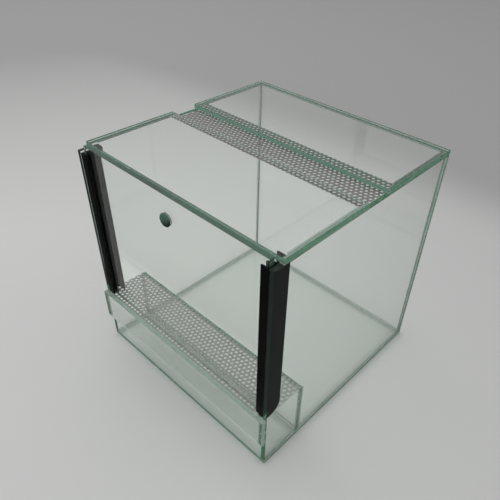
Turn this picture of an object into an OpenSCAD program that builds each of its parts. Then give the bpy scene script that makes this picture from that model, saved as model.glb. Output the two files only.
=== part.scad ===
// Small front-opening glass terrarium with a lift-up door.
// Nine panes of float glass are bonded with clear silicone. The door slides in two black channel
// rails, and air enters through a perforated strip at the front and leaves through one in the top.
// Millimetres, Z up. The origin is the middle of the whole footprint, on the surface it stands on.

/* [Tank] */
// Outside width across the side panes
tank_w = 200; // [140:1:400]
// Outside depth from the side panes' front edges to the back pane's rear face
tank_d = 199.4; // [150:0.1:400]
// Outside height from the base's underside to the top panes' upper face
tank_h = 200.8; // [150:0.1:400]

/* [Glass] */
// Thickness of every glass pane
glass_t = 4; // [3:0.5:5]
// Width of the ground arris on the pane edges
arris = 0.3; // [0.1:0.05:0.5]

/* [Silicone] */
// Thickness of the silicone between two bonded pieces
joint_t = 0.4; // [0.2:0.05:0.6]
// Leg of the silicone fillet in each inside corner
bead_leg = 1.4; // [1:0.1:3]
// Thickness of the fillet where it thins out on the glass
bead_edge = 0.12; // [0.05:0.01:0.2]

/* [Front vent] */
// Height of the vent chamber's perforated strip, top face
vent_h = 57.5; // [45:0.5:90]
// Distance from the side panes' front edges to the divider's front face
divider_y = 38; // [30:0.5:60]
// Height of the open air slot's upper edge, under the front lower pane
slot_top = 28; // [15:0.5:35]
// How far the front lower pane stops short of the left side pane's outer face
front_pane_inset = 1.3; // [0:0.1:3]

/* [Top] */
// Distance from the side panes' front edges to the front top pane
top_pane_y = 8; // [7.5:0.1:9]
// Depth of the front top pane, front to back
front_top_d = 82.5; // [60:0.5:90]
// Width of the open gap between the two top panes
top_gap = 24; // [15:0.5:28]

/* [Perforated strips] */
// Thickness of the perforated aluminium
strip_t = 0.5; // [0.4:0.1:1.5]
// How far the lower strip reaches over the divider's upper edge
lower_strip_lap = 2; // [1:0.1:3.5]
// How far the top strip reaches forward under the front top pane
top_strip_lap = 5.7; // [4:0.1:8]
// How far the top strip reaches back under the rear top pane
top_strip_rear_lap = 11.3; // [4:0.1:15]
// Gap between each end of a strip and the side pane
strip_end_gap = 0.4; // [0.2:0.05:1]
// Diameter of one hole
hole_d = 2.5; // [1.5:0.1:3]
// Distance between neighbouring holes, staggered at 60 degrees
hole_pitch = 4; // [3.8:0.1:6]
// First hole of the lower strip, from its left end
lower_hole_x = 0; // [0:0.1:4]
// First row of the lower strip, from its front edge
lower_hole_y = 1.4; // [1.3:0.1:4]
// First hole of the top strip, from its left end
top_hole_x = 3.1; // [0:0.1:4]
// First row of the top strip, from its front edge, where the cut runs through the row
top_hole_y = -0.6; // [-1:0.1:4]
// Width of the silicone line along each edge of the top strip
strip_bond_w = 2.4; // [1:0.1:4]

/* [Door rails] */
// Wall of a rail's web, against the glass
rail_web_t = 1.2; // [0.8:0.1:2]
// Thickness of each of the rail's three lips
rail_lip_t = 1.5; // [1:0.1:2]
// Length of a lip from the glass to its tip
rail_lip_w = 7.2; // [5:0.1:10]
// Clear width of each of the rail's two grooves
rail_groove = 5.2; // [4.4:0.1:6]
// Gap between a rail's upper end and the side pane's upper edge
rail_top_gap = 1.1; // [0:0.1:5]
// Thickness of the adhesive between a rail and its side pane
rail_bond_t = 0.3; // [0.1:0.05:0.5]
// Margin of bare web round the adhesive
rail_bond_margin = 0.8; // [0.5:0.1:2]
// Radius of the rounded lower rear corner of the right rail
rail_corner_r = 10; // [2:0.5:13]

/* [Door] */
// How far the door pane's upper edge stands above the top panes
door_rise = 0.2; // [0:0.1:5]
// Gap between the door pane's edge and a rail's web
door_end_gap = 0.3; // [0.2:0.05:0.8]
// Diameter of the port drilled in the door
port_d = 9; // [6:0.5:16]
// Distance of the port's centre from the door's upper edge
port_drop = 20; // [15:0.5:60]
// Sideways place of the port from the door's middle
port_x = 0; // [-40:0.5:40]
// How far the plug's head reaches past the port all round
plug_rim = 0.7; // [0.5:0.1:2]
// Thickness of the plug's head
plug_head_t = 1.5; // [1:0.1:2]
// Depth of the hollow in the plug's head
plug_dish = 0.4; // [0.1:0.1:0.6]
// Gap between the plug's shank and the port, all round
plug_play = 0.1; // [0.05:0.05:0.2]

/* [Hidden] */
$fn = 48;

// Planes across the width, counted from the middle
x_out = tank_w / 2;
x_in = x_out - glass_t;

// Planes from front to back: the front lower pane stands proud of the side panes
overall_d = glass_t + joint_t + tank_d;
y_front = -overall_d / 2;
y_side = y_front + glass_t + joint_t;
y_rear = overall_d / 2;
y_back_in = y_rear - glass_t;
y_divider = y_side + divider_y;
y_divider_rear = y_divider + glass_t;
y_top = y_side + top_pane_y;
y_gap = y_top + front_top_d;
y_gap_rear = y_gap + top_gap;

// Planes from the table up
z_floor = glass_t;
z_wall = z_floor + joint_t;
z_top_under = tank_h - glass_t;
z_wall_top = z_top_under - joint_t;
z_strip = vent_h - strip_t;
z_divider_top = z_strip - joint_t;
z_top_strip = z_wall_top - strip_t;
z_bead = z_floor + bead_leg;
z_top_bead = z_top_under - bead_leg;

// Perforated strips
strip_l = 2 * (x_in - strip_end_gap);
row_pitch = hole_pitch * sin(60);
y_lower_strip = y_side - joint_t / 2;
lower_strip_w = y_divider + lower_strip_lap - y_lower_strip;
y_top_strip = y_gap - top_strip_lap;
top_strip_w = top_strip_lap + top_gap + top_strip_rear_lap;
y_top_strip_rear = y_top_strip + top_strip_w;

// Door rails and door
rail_d = 3 * rail_lip_t + 2 * rail_groove;
rail_x = x_in - rail_bond_t;
z_rail_top = z_wall_top - rail_top_gap;
rail_h = z_rail_top - vent_h;
y_rail_rear = y_side + rail_d;
rail_lip_reach = rail_lip_w - rail_bond_t;
door_w = 2 * (rail_x - rail_web_t - door_end_gap);
door_h = tank_h + door_rise - vent_h;
y_door = y_side + rail_lip_t + (rail_groove - glass_t) / 2;
z_port = vent_h + door_h - port_drop;

glass_green = [0.72, 0.86, 0.79, 0.5];
silicone_grey = [0.80, 0.85, 0.82, 0.8];
rail_black = [0.04, 0.04, 0.045];
strip_silver = [0.76, 0.77, 0.78];
plug_green = [0.30, 0.42, 0.36];

// Rectangle with its four corners cut back by the arris
module arris_rectangle(w, h) {
    polygon([
        [arris, 0], [w - arris, 0], [w, arris], [w, h - arris],
        [w - arris, h], [arris, h], [0, h - arris], [0, arris]
    ]);
}

// Box of glass with all its edges ground to an arris, from corner p
module pane(p, size) {
    translate(p)
        intersection() {
            linear_extrude(size[2])
                arris_rectangle(size[0], size[1]);
            translate([0, size[1], 0])
                rotate([90, 0, 0])
                    linear_extrude(size[1])
                        arris_rectangle(size[0], size[2]);
            rotate([90, 0, 90])
                linear_extrude(size[0])
                    arris_rectangle(size[1], size[2]);
        }
}

// Plain box between two opposite corners
module block(low, high) {
    translate(low)
        cube(high - low);
}

// Section of a silicone fillet in the corner of the positive X and Y axes, with a hollow face
module fillet_section() {
    difference() {
        square(bead_leg);
        translate([bead_leg, bead_leg])
            circle(r = bead_leg - bead_edge);
    }
}

// Fillet that runs along X from p. dy and dz are the ways its legs point, 1 or -1
module fillet_x(p, length, dy, dz) {
    translate(p)
        mirror([0, dy < 0 ? 1 : 0, 0])
            mirror([0, 0, dz < 0 ? 1 : 0])
                rotate([90, 0, 90])
                    linear_extrude(length)
                        fillet_section();
}

// Fillet that runs along Y from p, with legs along dx and dz
module fillet_y(p, length, dx, dz) {
    translate(p + [0, length, 0])
        mirror([dx < 0 ? 1 : 0, 0, 0])
            mirror([0, 0, dz < 0 ? 1 : 0])
                rotate([90, 0, 0])
                    linear_extrude(length)
                        fillet_section();
}

// Fillet that runs up from p, with legs along dx and dy
module fillet_z(p, length, dx, dy) {
    translate(p)
        mirror([dx < 0 ? 1 : 0, 0, 0])
            mirror([0, dy < 0 ? 1 : 0, 0])
                linear_extrude(length)
                    fillet_section();
}

// Mirrors a right-hand piece to the left
module to_left() {
    mirror([1, 0, 0])
        children();
}

// Bottom pane, the size of the tank's footprint
module base_pane() {
    color(glass_green)
        pane([-x_out, y_side, 0], [tank_w, tank_d, glass_t]);
}

// Side pane, drawn on the right
module side_pane() {
    color(glass_green)
        pane([x_in, y_side, z_wall], [glass_t, y_back_in - joint_t - y_side, z_wall_top - z_wall]);
}

// Back pane over the full width, behind both side panes
module back_pane() {
    color(glass_green)
        pane([-x_out, y_back_in, z_wall], [tank_w, glass_t, z_wall_top - z_wall]);
}

// Front half of the top
module front_top_pane() {
    color(glass_green)
        pane([-x_out, y_top, z_top_under], [tank_w, front_top_d, glass_t]);
}

// Rear half of the top
module rear_top_pane() {
    color(glass_green)
        pane([-x_out, y_gap_rear, z_top_under], [tank_w, y_rear - y_gap_rear, glass_t]);
}

// Low pane across the front, with the air slot open under it
module front_lower_pane() {
    color(glass_green)
        pane(
            [-x_out + front_pane_inset, y_front, slot_top],
            [tank_w - front_pane_inset, glass_t, vent_h - slot_top]
        );
}

// Pane that parts the vent chamber from the living space and holds the substrate back
module divider_pane() {
    color(glass_green)
        pane(
            [-x_in + joint_t, y_divider, z_wall],
            [2 * (x_in - joint_t), glass_t, z_divider_top - z_wall]
        );
}

// Ground edge of the port on one face of the door, opening towards -Y
module port_arris() {
    rotate([-90, 0, 0])
        translate([0, 0, -arris])
            cylinder(h = 2 * arris, d1 = port_d + 4 * arris, d2 = port_d);
}

// Door pane that slides up in the front grooves, with its drilled port
module door_pane() {
    color(glass_green)
        difference() {
            pane([-door_w / 2, y_door, vent_h], [door_w, glass_t, door_h]);
            translate([port_x, y_door, z_port]) {
                translate([0, 2 * glass_t, 0])
                    rotate([90, 0, 0])
                        cylinder(h = 3 * glass_t, d = port_d);
                port_arris();
                translate([0, glass_t, 0])
                    mirror([0, 1, 0])
                        port_arris();
            }
        }
}

// Head of the plug, with a rim that tapers towards the front
module plug_head() {
    head_d = port_d + 2 * plug_rim;
    half_t = plug_head_t / 2;
    cylinder(h = half_t, d = head_d);
    translate([0, 0, half_t])
        cylinder(h = half_t, d1 = head_d, d2 = head_d - plug_head_t);
}

// Soft plug that fills the port: a shank as long as the pane is thick, and a dished head in front
module port_plug() {
    dish_r = port_d * port_d / (8 * plug_dish);
    color(plug_green)
        translate([port_x, y_door, z_port])
            rotate([90, 0, 0])
                difference() {
                    union() {
                        translate([0, 0, -glass_t])
                            cylinder(h = glass_t, d = port_d - 2 * plug_play);
                        plug_head();
                    }
                    translate([0, 0, plug_head_t + dish_r - plug_dish])
                        sphere(r = dish_r);
                }
}

// Section of a rail: a web along Y with three round-tipped lips along X
module rail_section() {
    square([rail_web_t, rail_d]);
    for (i = [0 : 2])
        translate([0, i * (rail_lip_t + rail_groove)]) {
            square([rail_lip_reach - rail_lip_t / 2, rail_lip_t]);
            translate([rail_lip_reach - rail_lip_t / 2, rail_lip_t / 2])
                circle(d = rail_lip_t);
        }
}

// Double-channel rail, drawn on the right with its lips pointing inwards
module door_rail() {
    translate([rail_x, y_side, vent_h])
        mirror([1, 0, 0])
            linear_extrude(rail_h)
                rail_section();
}

// What the rounded lower rear corner of the right rail leaves away
module rail_corner_cut() {
    difference() {
        block(
            [x_in - 2 * rail_lip_w, y_rail_rear - rail_corner_r, vent_h - rail_corner_r],
            [x_in, y_rail_rear + rail_corner_r, vent_h + rail_corner_r]
        );
        translate([x_in - 3 * rail_lip_w, y_rail_rear - rail_corner_r, vent_h + rail_corner_r])
            rotate([0, 90, 0])
                cylinder(h = 4 * rail_lip_w, r = rail_corner_r);
    }
}

module left_door_rail() {
    color(rail_black)
        to_left()
            door_rail();
}

module right_door_rail() {
    color(rail_black)
        difference() {
            door_rail();
            rail_corner_cut();
        }
}

// Adhesive between a rail's web and the side pane, drawn on the right from height z
module rail_bond(z) {
    color(silicone_grey)
        block(
            [rail_x, y_side + rail_bond_margin, z],
            [x_in, y_rail_rear - rail_bond_margin, z_rail_top - rail_bond_margin]
        );
}

// Perforated sheet of width w, with its left front corner at the origin. The holes are staggered,
// and the sheet is cut from a larger one, so its edges may run through a row. Its corners are whole
module perforated_strip(w, first_x, first_y) {
    rows = ceil((w + hole_d - first_y) / row_pitch);
    columns = ceil((strip_l + hole_d) / hole_pitch);
    linear_extrude(strip_t)
        difference() {
            square([strip_l, w]);
            for (row = [0 : rows], column = [-1 : columns]) {
                x = first_x + hole_pitch * (column + (row % 2) / 2);
                y = first_y + row_pitch * row;
                from_end = strip_l / 2 - abs(x - strip_l / 2);
                from_edge = w / 2 - abs(y - w / 2);
                in_corner = from_end < hole_d / 2 && from_edge < hole_d / 2;
                if (min(from_end, from_edge) > -hole_d / 2 && !in_corner)
                    translate([x, y])
                        circle(d = hole_d);
            }
        }
}

// Strip over the vent chamber, from the front lower pane to the divider
module lower_vent_strip() {
    color(strip_silver)
        translate([-strip_l / 2, y_lower_strip, z_strip])
            perforated_strip(lower_strip_w, lower_hole_x, lower_hole_y);
}

// Strip under the gap between the two top panes
module top_vent_strip() {
    color(strip_silver)
        translate([-strip_l / 2, y_top_strip, z_top_strip])
            perforated_strip(top_strip_w, top_hole_x, top_hole_y);
}

// Silicone on the divider's upper edge, and the fillet under the strip's front edge
module lower_strip_seal() {
    color(silicone_grey) {
        block(
            [-strip_l / 2, y_divider, z_divider_top],
            [strip_l / 2, y_divider + lower_strip_lap, z_strip]
        );
        fillet_x([-x_in, y_side - joint_t, z_strip], 2 * x_in, 1, -1);
    }
}

// Silicone lines that hang the top strip under both top panes
module top_strip_seal() {
    color(silicone_grey)
        for (y = [y_top_strip, y_top_strip_rear - strip_bond_w])
            block(
                [-strip_l / 2, y, z_wall_top],
                [strip_l / 2, y + strip_bond_w, z_top_under]
            );
}

// Silicone under a side pane, with a fillet in the living space and one in the vent chamber
module side_base_seal() {
    color(silicone_grey) {
        block([x_in, y_side, z_floor], [x_out, y_back_in, z_wall]);
        fillet_y([x_in, y_side, z_floor], divider_y, -1, 1);
        fillet_y([x_in, y_divider_rear, z_floor], y_back_in - y_divider_rear, -1, 1);
    }
}

// Silicone under the back pane, with a fillet along the floor
module back_base_seal() {
    color(silicone_grey) {
        block([-x_out, y_back_in, z_floor], [x_out, y_rear, z_wall]);
        fillet_x([-x_in + bead_leg, y_back_in, z_floor], 2 * (x_in - bead_leg), -1, 1);
    }
}

// Silicone under the divider, with a fillet on each side
module divider_base_seal() {
    color(silicone_grey) {
        block([-x_in + joint_t, y_divider, z_floor], [x_in - joint_t, y_divider_rear, z_wall]);
        fillet_x([-x_in + bead_leg, y_divider, z_floor], 2 * (x_in - bead_leg), -1, 1);
        fillet_x([-x_in + bead_leg, y_divider_rear, z_floor], 2 * (x_in - bead_leg), 1, 1);
    }
}

// Upright seam between a side pane and the back pane, drawn on the right
module rear_seal() {
    color(silicone_grey) {
        block([x_in, y_back_in - joint_t, z_wall], [x_out, y_back_in, z_wall_top]);
        fillet_z([x_in, y_back_in, z_bead], z_top_bead - z_bead, -1, -1);
    }
}

// Upright seam between the divider's end and a side pane, drawn on the right
module divider_seal() {
    color(silicone_grey) {
        block([x_in - joint_t, y_divider, z_floor], [x_in, y_divider_rear, z_divider_top]);
        fillet_z([x_in, y_divider, z_bead], z_divider_top - z_bead, -1, -1);
        fillet_z([x_in, y_divider_rear, z_bead], z_divider_top - z_bead, -1, 1);
    }
}

// Upright seam between the front lower pane and a side pane's front edge, drawn on the right.
// inset is how far the pane stops short of the side pane's outer face
module front_seal(inset) {
    color(silicone_grey) {
        block([x_in, y_side - joint_t, slot_top], [x_out - inset, y_side, vent_h]);
        fillet_z([x_in, y_side - joint_t, slot_top], z_strip - bead_leg - slot_top, -1, 1);
    }
}

// Seam between the front top pane and a side pane, drawn on the right
module front_top_seal() {
    y_bead = y_rail_rear + joint_t;
    color(silicone_grey) {
        block([x_in, y_top, z_wall_top], [x_out, y_gap, z_top_under]);
        fillet_y([x_in, y_bead, z_top_under], y_top_strip - joint_t - y_bead, -1, -1);
    }
}

// Seam between the rear top pane and a side pane, drawn on the right
module rear_top_seal() {
    y_bead = y_top_strip_rear + joint_t;
    color(silicone_grey) {
        block([x_in, y_gap_rear, z_wall_top], [x_out, y_back_in, z_top_under]);
        fillet_y([x_in, y_bead, z_top_under], y_back_in - y_bead, -1, -1);
    }
}

// Seam between the rear top pane and the back pane
module rear_top_back_seal() {
    color(silicone_grey) {
        block([-x_out, y_back_in, z_wall_top], [x_out, y_rear, z_top_under]);
        fillet_x([-x_in + bead_leg, y_back_in, z_top_under], 2 * (x_in - bead_leg), -1, -1);
    }
}

base_pane();
to_left() side_pane();  // left_side_pane
side_pane();  // right_side_pane
back_pane();
front_top_pane();
rear_top_pane();
front_lower_pane();
divider_pane();
door_pane();
port_plug();
left_door_rail();
right_door_rail();
to_left() rail_bond(vent_h + rail_bond_margin);  // left_rail_bond
rail_bond(vent_h + rail_corner_r);  // right_rail_bond
lower_vent_strip();
top_vent_strip();
lower_strip_seal();
top_strip_seal();
to_left() side_base_seal();  // left_base_seal
side_base_seal();  // right_base_seal
back_base_seal();
divider_base_seal();
to_left() rear_seal();  // left_rear_seal
rear_seal();  // right_rear_seal
to_left() divider_seal();  // left_divider_seal
divider_seal();  // right_divider_seal
to_left() front_seal(front_pane_inset);  // left_front_seal
front_seal(0);  // right_front_seal
to_left() front_top_seal();  // front_top_left_seal
front_top_seal();  // front_top_right_seal
to_left() rear_top_seal();  // rear_top_left_seal
rear_top_seal();  // rear_top_right_seal
rear_top_back_seal();
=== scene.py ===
import math
import random
from collections import namedtuple

import bmesh
import bpy
from bpy.props import FloatProperty, FloatVectorProperty, IntProperty, PointerProperty
from mathutils import Matrix, Vector


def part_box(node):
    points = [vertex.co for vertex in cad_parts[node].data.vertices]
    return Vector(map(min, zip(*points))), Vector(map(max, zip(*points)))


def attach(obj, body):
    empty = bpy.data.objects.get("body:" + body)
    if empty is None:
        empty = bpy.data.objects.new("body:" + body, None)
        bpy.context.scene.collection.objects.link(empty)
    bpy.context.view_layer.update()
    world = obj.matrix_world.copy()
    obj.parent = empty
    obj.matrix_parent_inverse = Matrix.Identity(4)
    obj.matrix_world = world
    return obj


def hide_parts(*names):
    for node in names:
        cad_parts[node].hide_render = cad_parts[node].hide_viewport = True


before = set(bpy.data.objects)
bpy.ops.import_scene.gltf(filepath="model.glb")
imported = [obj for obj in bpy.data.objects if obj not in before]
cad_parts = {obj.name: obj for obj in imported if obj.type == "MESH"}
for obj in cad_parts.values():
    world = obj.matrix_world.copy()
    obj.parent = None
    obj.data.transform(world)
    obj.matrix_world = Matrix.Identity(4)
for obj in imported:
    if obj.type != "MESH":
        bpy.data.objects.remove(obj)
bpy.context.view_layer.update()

bl_info = {
    "name": "Glass terrarium finish",
    "version": (1, 0, 0),
    "blender": (4, 5, 0),
    "location": "View3D > Sidebar > Terrarium",
    "description": "Glass, rails, perforated strips, silicone and studio for a small lift-door terrarium",
    "category": "Object",
}

MM = 0.001
TANK_BODY = "tank"
RAILS = ("left_door_rail", "right_door_rail")
AXES = {"X": (1.0, 0.0, 0.0), "Y": (0.0, 1.0, 0.0), "Z": (0.0, 0.0, 1.0)}
UP, DOWN, REARWARD, FORWARD = (0, 0, 1), (0, 0, -1), (0, 1, 0), (0, -1, 0)

# How a pane's ground edges look: their tint, the share of light that they let in, their roughness
EdgeFinish = namedtuple("EdgeFinish", "tint clearness roughness")
SEAMED = EdgeFinish((0.45, 0.60, 0.56), 0.85, 0.08)
CLEAR_CUT = EdgeFinish((0.42, 0.60, 0.53), 0.97, 0.06)
DEEP = EdgeFinish((0.43, 0.59, 0.54), 0.88, 0.08)
MATT = EdgeFinish((0.33, 0.45, 0.38), 0.38, 0.25)
GREYED = EdgeFinish((0.36, 0.43, 0.385), 0.50, 0.16)
PALE = EdgeFinish((0.66, 0.76, 0.70), 0.92, 0.08)
BONDED = EdgeFinish((0.38, 0.43, 0.40), 0.15, 0.30)
FROSTED = EdgeFinish((0.90, 0.96, 0.93), 0.25, 0.35)
# Painted shade on the door pane's edges, all but its top end
SHADED = EdgeFinish((0.10, 0.17, 0.13), 0.45, 0.15)

# Panes by group: the axis across their thickness, their edges, the end that differs, their nodes
FIXED_PANES = {
    "float_glass_side": ("X", CLEAR_CUT, {REARWARD: BONDED}, ("left_side_pane", "right_side_pane")),
    "float_glass_back": ("Y", SEAMED, {}, ("back_pane",)),
    "float_glass_divider": ("Y", SEAMED, {UP: PALE}, ("divider_pane",)),
    "float_glass_front": ("Y", GREYED, {DOWN: FROSTED}, ("front_lower_pane",)),
    "float_glass_base": ("Z", MATT, {}, ("base_pane",)),
    "float_glass_top": ("Z", DEEP, {}, ("front_top_pane", "rear_top_pane")),
}
DOOR_PANES = {"door_glass": ("Y", SHADED, {UP: DEEP}, ("door_pane",))}

# Noise scales, in waves per metre, from the coarsest marks to the finest
FLOOR_MOTTLE = 2.5
SMEARS = 34.0
RUB_MARKS = 60.0
METAL_PATCHES = 70.0
CONTACT_PATCHES = 90.0
GRINDING = 240.0
SILICONE_CLOUDS = 260.0
RUBBER_CLOUDS = RIPPLES = 420.0
DIE_LINES = 1400.0
ROLLING_GRAIN = 1500.0

# What light keeps of its colour when it passes straight through, to reach what lies behind
FACE_SHADOW, EDGE_SHADOW = (0.994, 0.998, 0.996), (0.55, 0.68, 0.62)
CLEAR_SHADOW, CLOUDY_SHADOW = (0.95, 0.97, 0.96), (0.66, 0.72, 0.69)

BLACK = (0.0, 0.0, 0.0)
RUBBED_BLACK = (0.007, 0.0073, 0.007)
CONTACT_BLACKS = (0.004, 0.006, 0.005), (0.008, 0.011, 0.010)
# The plug's green, and the darker green of its painted shade towards the lower right
PLUG_GREEN_AND_PAINTED_SHADE = (0.10, 0.20, 0.145), (0.006, 0.020, 0.014)
# Share of its colour that aluminium keeps where silicone wets it
WET_SHARE = (0.42, 0.66, 0.54)

# Silicone by where it lies: the setting of its colour, its cloudiness, its index of refraction
SILICONES = {
    "clear_silicone": ("colour", 0.50, 1.41),
    # The next two are clear silicone with painted shade: greyer in the upright rear corners and under the
    # top, darker under the top panes' ends
    "shaded_silicone": ("shaded_colour", 0.50, 1.41),
    "dark_silicone": ("darker_painted_shade_colour", 0.50, 1.41),
    "joint_silicone": ("joint_colour", 0.0, 1.06),
    "top_joint_silicone": ("top_joint_colour", 0.0, 1.06),
    # Cloudy silicone with painted light: paler under the front top pane's right end, where full light
    # falls
    "pale_joint_silicone": ("painted_light_joint_colour", 0.40, 1.06),
    "strip_joint_silicone": ("strip_joint_colour", 0.0, 1.02),
}

# Drawn silicone: distance between rings, a bead's thin rim and hollow arc, the drop at a rail's foot
BEAD_SPACING, FILM_SPACING = 2.5 * MM, 3.0 * MM
FEATHER, ARC_SIDES = 0.1 * MM, 5
DROP_RADII = (2.4 * MM, 1.7 * MM, 1.7 * MM)
DROP_RINGS, DROP_SIDES = 12, 16
CORNER_SIDES = 12
HAIR_GAP = 0.02 * MM
# Waves of a hand-drawn edge: how many, their rates in radians per metre, their weights, their seeds
WAVE_COUNT, WAVE_RATES, WAVE_WEIGHTS = 4, (18, 160), (0.4, 1.0)
FIRST_SEED, SEED_STEP = 11, 7

# Where the table top's painted falloff of light lies, in metres: along a direction, and round a centre on
# stretched axes
FADE_DIRECTION = (-0.027, 1.0, 0.0)
FADE_CENTRE, FADE_STRETCH = (-0.099, -0.377, 0.0), (1.0, 0.778, 0.0)
# Changes of the table top's tone, all painted light and shade: from and to in metres, and the strength
# there
FADE_ALONG, FADE_ROUND = (0.319, 0.491, 1.0, 0.0, "SMOOTHSTEP"), (0.322, 0.999, 1.0, 0.0)
MIRROR_SHADE, SLOT_SHADE = (-0.4, 0.6, 0.9, 0.6), (-0.094, -0.084, 0.13, 0.0)
CHAMBER_PAINTED_LIGHT, STRIP_PAINTED_LIGHT = (-0.075, -0.055, 0.18, 0.31), (-0.075, -0.055, 0.0, 0.64)
STRIP_ALONG_Y, STRIP_ALONG_X = (-0.032, -0.014, 1.0, 0.0), (0.04, 0.07, 1.0, 0.0)
PAINTED_LIGHT_GAIN = (1.5, 1.5, 1.5)

# Soft lamps: their place, the side of their square, their power in watts
SOFTBOXES = {
    "window_softbox": ((-1.1, 0.2, 1.5), 1.6, 7),
    "fill_softbox": ((1.3, -0.9, 1.4), 1.4, 3),
}
LAMP_AIM = (0, 0, 0.1)
SENSOR_WIDTH = 36.0
ROOM_COLOUR = (0.98, 0.985, 0.98, 1.0)
ROOM_LIGHT, ROOM_SEEN_IN_GLASS = 0.67, 0.36
LIGHT_PATHS = {
    "max_bounces": 64,
    "transmission_bounces": 64,
    "glossy_bounces": 64,
    "diffuse_bounces": 4,
    "transparent_max_bounces": 64,
    "caustics_reflective": False,
    "caustics_refractive": False,
}


def colour_setting(name, description, default):
    """A colour that a user can change"""
    return FloatVectorProperty(
        name=name, description=description, default=default, size=3, subtype="COLOR", min=0, max=1)


def length_setting(name, description, default, least=0):
    """A length that a user can change, with its default and its least value in millimetres"""
    return FloatProperty(
        name=name, description=description, default=default * MM, min=least * MM, unit="LENGTH")


def share_setting(name, description, default, most=1):
    """A share that a user can change"""
    return FloatProperty(
        name=name, description=description, default=default, min=0, max=most, subtype="FACTOR")


class GlassSettings(bpy.types.PropertyGroup):
    body_tint: colour_setting(
        "Body tint", "Colour that the glass lets through along its thickness", (0.24, 0.76, 0.42))
    body_density: FloatProperty(
        name="Body density", description="How strongly a long way through the glass is tinted, per metre",
        default=5.0, min=0, max=50)
    face_tint: colour_setting("Face tint", "Colour of the polished faces", (0.994, 0.999, 0.992))
    edge_depth: FloatProperty(
        name="Edge depth", description="Strength of the tint in the ground edges, 1 as measured",
        default=1.0, min=0, max=2)
    ior: FloatProperty(
        name="Index of refraction", description="Index of soda-lime float glass",
        default=1.52, min=1, max=2)


class RailSettings(bpy.types.PropertyGroup):
    colour: colour_setting("Rail colour", "Black of the extruded rails", (0.0028, 0.003, 0.003))
    roughness: share_setting("Rail roughness", "Middle roughness of the extruded surface", 0.30)
    bite: length_setting(
        "Adhesive bite", "How far the adhesive's face lies inside the glass, so no air shows", 0.02)
    margin: length_setting("Adhesive margin", "Bare rim of the rail's web round the adhesive", 0.15)
    corner_radius: length_setting(
        "Corner radius", "Radius of the right rail's rounded lower rear corner", 10)


class StripSettings(bpy.types.PropertyGroup):
    pitch: length_setting("Hole pitch", "Distance between neighbouring holes", 4.0, least=3.0)
    hole_diameter: length_setting("Hole diameter", "Diameter of a punched hole", 2.5, least=0.5)
    rim: length_setting(
        "Punch rim", "Width of the rolled rim round each hole on the punched side", 0.06, least=0.01)
    seat_gap: length_setting("Seat gap", "Air left between the sheet and what touches it", 0.02)
    lower_first: FloatVectorProperty(
        name="First hole, lower", description="First hole from the lower strip's left front corner",
        default=(0.0, 1.4 * MM), size=2, unit="LENGTH")
    top_first: FloatVectorProperty(
        name="First hole, top", description="First hole from the top strip's left front corner",
        default=(3.1 * MM, -0.6 * MM), size=2, unit="LENGTH")
    segments: IntProperty(
        name="Hole segments", description="Sides of one round hole", default=20, min=8, max=48)
    # One aluminium in two tones: the lower strip painted lighter and the top strip painted darker, as
    # painted light and painted shade
    lower_colour: colour_setting(
        "Lower colour", "Brighter aluminium of the lower strip", (0.60, 0.60, 0.575))
    top_colour: colour_setting("Top colour", "Duller aluminium of the top strip", (0.37, 0.365, 0.35))
    roughness: share_setting("Aluminium roughness", "Middle roughness of the rolled sheet", 0.46)


class SiliconeSettings(bpy.types.PropertyGroup):
    leg: length_setting("Fillet leg", "Middle leg of the silicone fillet in a corner", 1.1, least=0.5)
    wobble: share_setting(
        "Wobble", "How far the hand-drawn fillet varies, as a share of its leg", 0.08, most=0.4)
    skin: length_setting("Skin gap", "Air left between the silicone and the glass", 0.03)
    recess: length_setting(
        "Edge recess", "How far a joint's silicone may lie back from the glass edge", 0.35)
    colour: colour_setting(
        "Silicone colour", "Clear silicone, slightly grey from dust", (0.77, 0.87, 0.80))
    # Painted shade: clear silicone painted greyer in the upright rear corners and under the top, where
    # little light reaches it
    shaded_colour: colour_setting(
        "Shaded silicone", "Greyer silicone in the upright rear corners and under the top",
        (0.46, 0.54, 0.49))
    # Painted shade: clear silicone painted darker under the top panes' ends, where little light gets in
    darker_painted_shade_colour: colour_setting(
        "Dark silicone", "Fillets under the top panes' ends, where little light gets in",
        (0.24, 0.30, 0.27))
    joint_colour: colour_setting(
        "Joint colour", "Green that shows through silicone squeezed between two glass edges",
        (0.74, 0.86, 0.80))
    top_joint_colour: colour_setting(
        "Top joint colour", "Deeper green that shows through the joints under the top panes",
        (0.80, 0.91, 0.86))
    # Painted light: cloudy silicone painted paler under the front top pane's right end, in full light
    painted_light_joint_colour: colour_setting(
        "Pale joint colour", "Cloudy silicone under the front top pane's right end, in full light",
        (0.70, 0.82, 0.75))
    strip_joint_colour: colour_setting(
        "Strip joint colour", "Thin clear silicone between a perforated strip and the glass",
        (0.97, 0.99, 0.98))


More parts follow.
